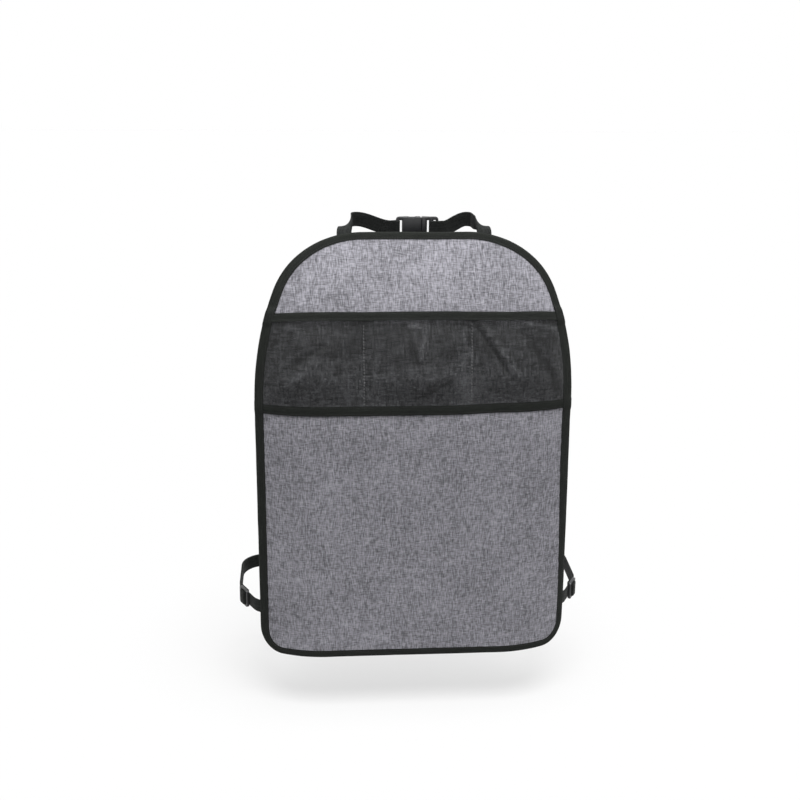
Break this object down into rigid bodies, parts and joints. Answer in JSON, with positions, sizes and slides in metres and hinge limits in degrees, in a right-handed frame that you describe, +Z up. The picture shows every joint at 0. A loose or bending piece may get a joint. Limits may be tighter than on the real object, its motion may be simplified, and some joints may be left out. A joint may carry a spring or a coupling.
{
  "type": "car seat protector",
  "caption": "Grey cloth kick mat with black edge tape and a mesh pocket in compartments, hung on a seat's back by buckled webbing straps.",
  "frame": {"origin": "midway between the headrest posts, at the middle of the top strap's width", "axes": "+Z up along the mat, +Y towards the seat, +X to the right of a person who looks at the mat's face"},
  "size_m": [0.4998, 0.1898, 0.6175],
  "materials": {
    "grey_cloth": "heather weave, matt",
    "black_tape": "matt ribbed tape",
    "black_mesh": "open knitted mesh",
    "black_webbing": "woven, slight sheen",
    "black_plastic": "fine satin moulding"
  },
  "bodies": {
    "root": {"mat_panel": "grey_cloth", "edge_binding": "black_tape", "pocket_top_band": "black_tape", "pocket_bottom_band": "black_tape", "mesh_pocket": "black_mesh", "top_strap_left": "black_webbing", "top_strap_right": "black_webbing", "lower_strap_left": "black_webbing", "lower_strap_right": "black_webbing", "slider_left": "black_plastic", "slider_right": "black_plastic", "top_buckle_socket": "black_plastic", "top_buckle_plug": "black_plastic", "lower_buckle_socket": "black_plastic", "lower_buckle_plug": "black_plastic"}
  },
  "joints": []
}
